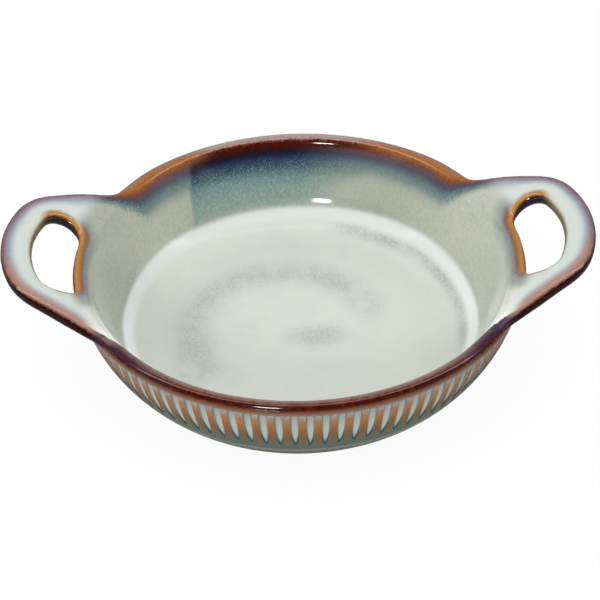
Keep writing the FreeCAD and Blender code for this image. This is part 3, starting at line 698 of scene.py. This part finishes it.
shader.inputs["Roughness"].default_value = 0.1
shine = between(tree, place.outputs["Radius"], 80.0, 83.0, 0.12, 0.5)
shine = maths(tree, "MULTIPLY", shine, maths(tree, "MULTIPLY_ADD", onWall, -0.55, 1.0))
fromHandle = maths(tree, "ABSOLUTE", maths(tree, "SUBTRACT", maths(tree, "ABSOLUTE", place.outputs["Bearing"]), 90))
atRoot = between(tree, maths(tree, "ABSOLUTE", maths(tree, "SUBTRACT", fromHandle, 36)), 5.0, 14.0, 0.3, 1.0)
shine = maths(tree, "MULTIPLY", shine, atRoot)
tree.links.new(shine, shader.inputs["Specular IOR Level"])
for piece in (outside, upper):
    piece.data.materials.clear()
    piece.data.materials.append(glaze)
print("glaze", len(bpy.data.node_groups), "node groups")

# --- floor, world and lights ---
bpy.ops.mesh.primitive_plane_add(size=8, location=(0, 0, 0))
floor = bpy.context.object
floor.name = "floor"
white = bpy.data.materials.new("white floor")
white.use_nodes = True
tree = white.node_tree
paper = tree.nodes["Principled BSDF"]
paper.inputs["Base Color"].default_value = (0.85, 0.85, 0.85, 1)
paper.inputs["Roughness"].default_value = 1.0
glow = add(tree, "Emission", Color=(1, 1, 1, 1), Strength=1.015)
rays = add(tree, "LightPath")
seen = maths(tree, "MULTIPLY", rays.outputs["Is Camera Ray"], 0.9)
both = add(tree, "MixShader", i0=seen, i1=paper.outputs[0], i2=glow.outputs[0])
dim = add(tree, "Emission", Color=(1, 1, 1, 1), Strength=0.22)
both = add(tree, "MixShader", i0=rays.outputs["Is Glossy Ray"], i1=both.outputs[0], i2=dim.outputs[0])
tree.links.new(both.outputs[0], tree.nodes["Material Output"].inputs["Surface"])
floor.data.materials.append(white)

world = bpy.data.worlds.new("studio")
world.use_nodes = True
world.node_tree.nodes["Background"].inputs["Color"].default_value = (1, 1, 1, 1)
tree = world.node_tree
# reflections see a dark room in front, a white sweep behind and a long strip of light overhead
look = add(tree, "SeparateXYZ", Vector=add(tree, "TexCoord").outputs["Generated"])
behind = between(tree, look.outputs["Y"], -0.1, 0.5, 0.05, 0.5)
horizon = between(tree, look.outputs["Z"], 0.25, 0.5, 1.0, 0.4)
behind = maths(tree, "MULTIPLY", behind, horizon)
strip = maths(tree, "ABSOLUTE", maths(tree, "ADD", look.outputs["Y"], 0.08))
overhead = between(tree, look.outputs["Z"], 0.25, 0.45)
strip = maths(tree, "MULTIPLY", between(tree, strip, 0.03, 0.15, 1.0, 0.0), overhead)
reflected = maths(tree, "MULTIPLY_ADD", strip, 4.2, behind)
mirror = add(tree, "LightPath").outputs["Is Glossy Ray"]
strength = maths(tree, "MULTIPLY_ADD", mirror, maths(tree, "SUBTRACT", reflected, 1.0), 1.0)
tree.links.new(strength, tree.nodes["Background"].inputs["Strength"])
bpy.context.scene.world = world


def softbox(name, place, target, width, height, energy):
    bpy.ops.object.light_add(type="AREA", location=place)
    lamp = bpy.context.object
    lamp.name = name
    lamp.data.shape = "RECTANGLE"
    lamp.data.size = width
    lamp.data.size_y = height
    lamp.data.energy = energy
    lamp.rotation_mode = "QUATERNION"
    lamp.rotation_quaternion = (Vector(target) - Vector(place)).to_track_quat("-Z", "Y")


softbox("key", place=(-0.236, -0.78, 0.39), target=(0, 0, 0.03), width=0.14, height=0.13, energy=2.4)
bpy.context.scene.view_settings.view_transform = "Standard"

# --- camera ---
view = {"lens": 103.0, "distance": 786.6 * mm, "elevation": 38.58, "azimuth": -1.8, "roll": -1.33,
        "lookAt": (0, 0, 22.8 * mm)}
bpy.ops.object.camera_add()
camera = bpy.context.object
azimuth, elevation = math.radians(view["azimuth"]), math.radians(view["elevation"])
back = Vector((math.sin(azimuth) * math.cos(elevation), -math.cos(azimuth) * math.cos(elevation),
               math.sin(elevation)))
camera.location = Vector(view["lookAt"]) + back * view["distance"]
camera.rotation_mode = "QUATERNION"
camera.rotation_quaternion = ((-back).to_track_quat("-Z", "Y")
                              @ Matrix.Rotation(math.radians(view["roll"]), 3, "Z").to_quaternion())
camera.data.lens = view["lens"]
bpy.context.scene.camera = camera
print("stage, light and camera set")

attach(outside, "root")
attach(upper, "root")
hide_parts("baking_dish")
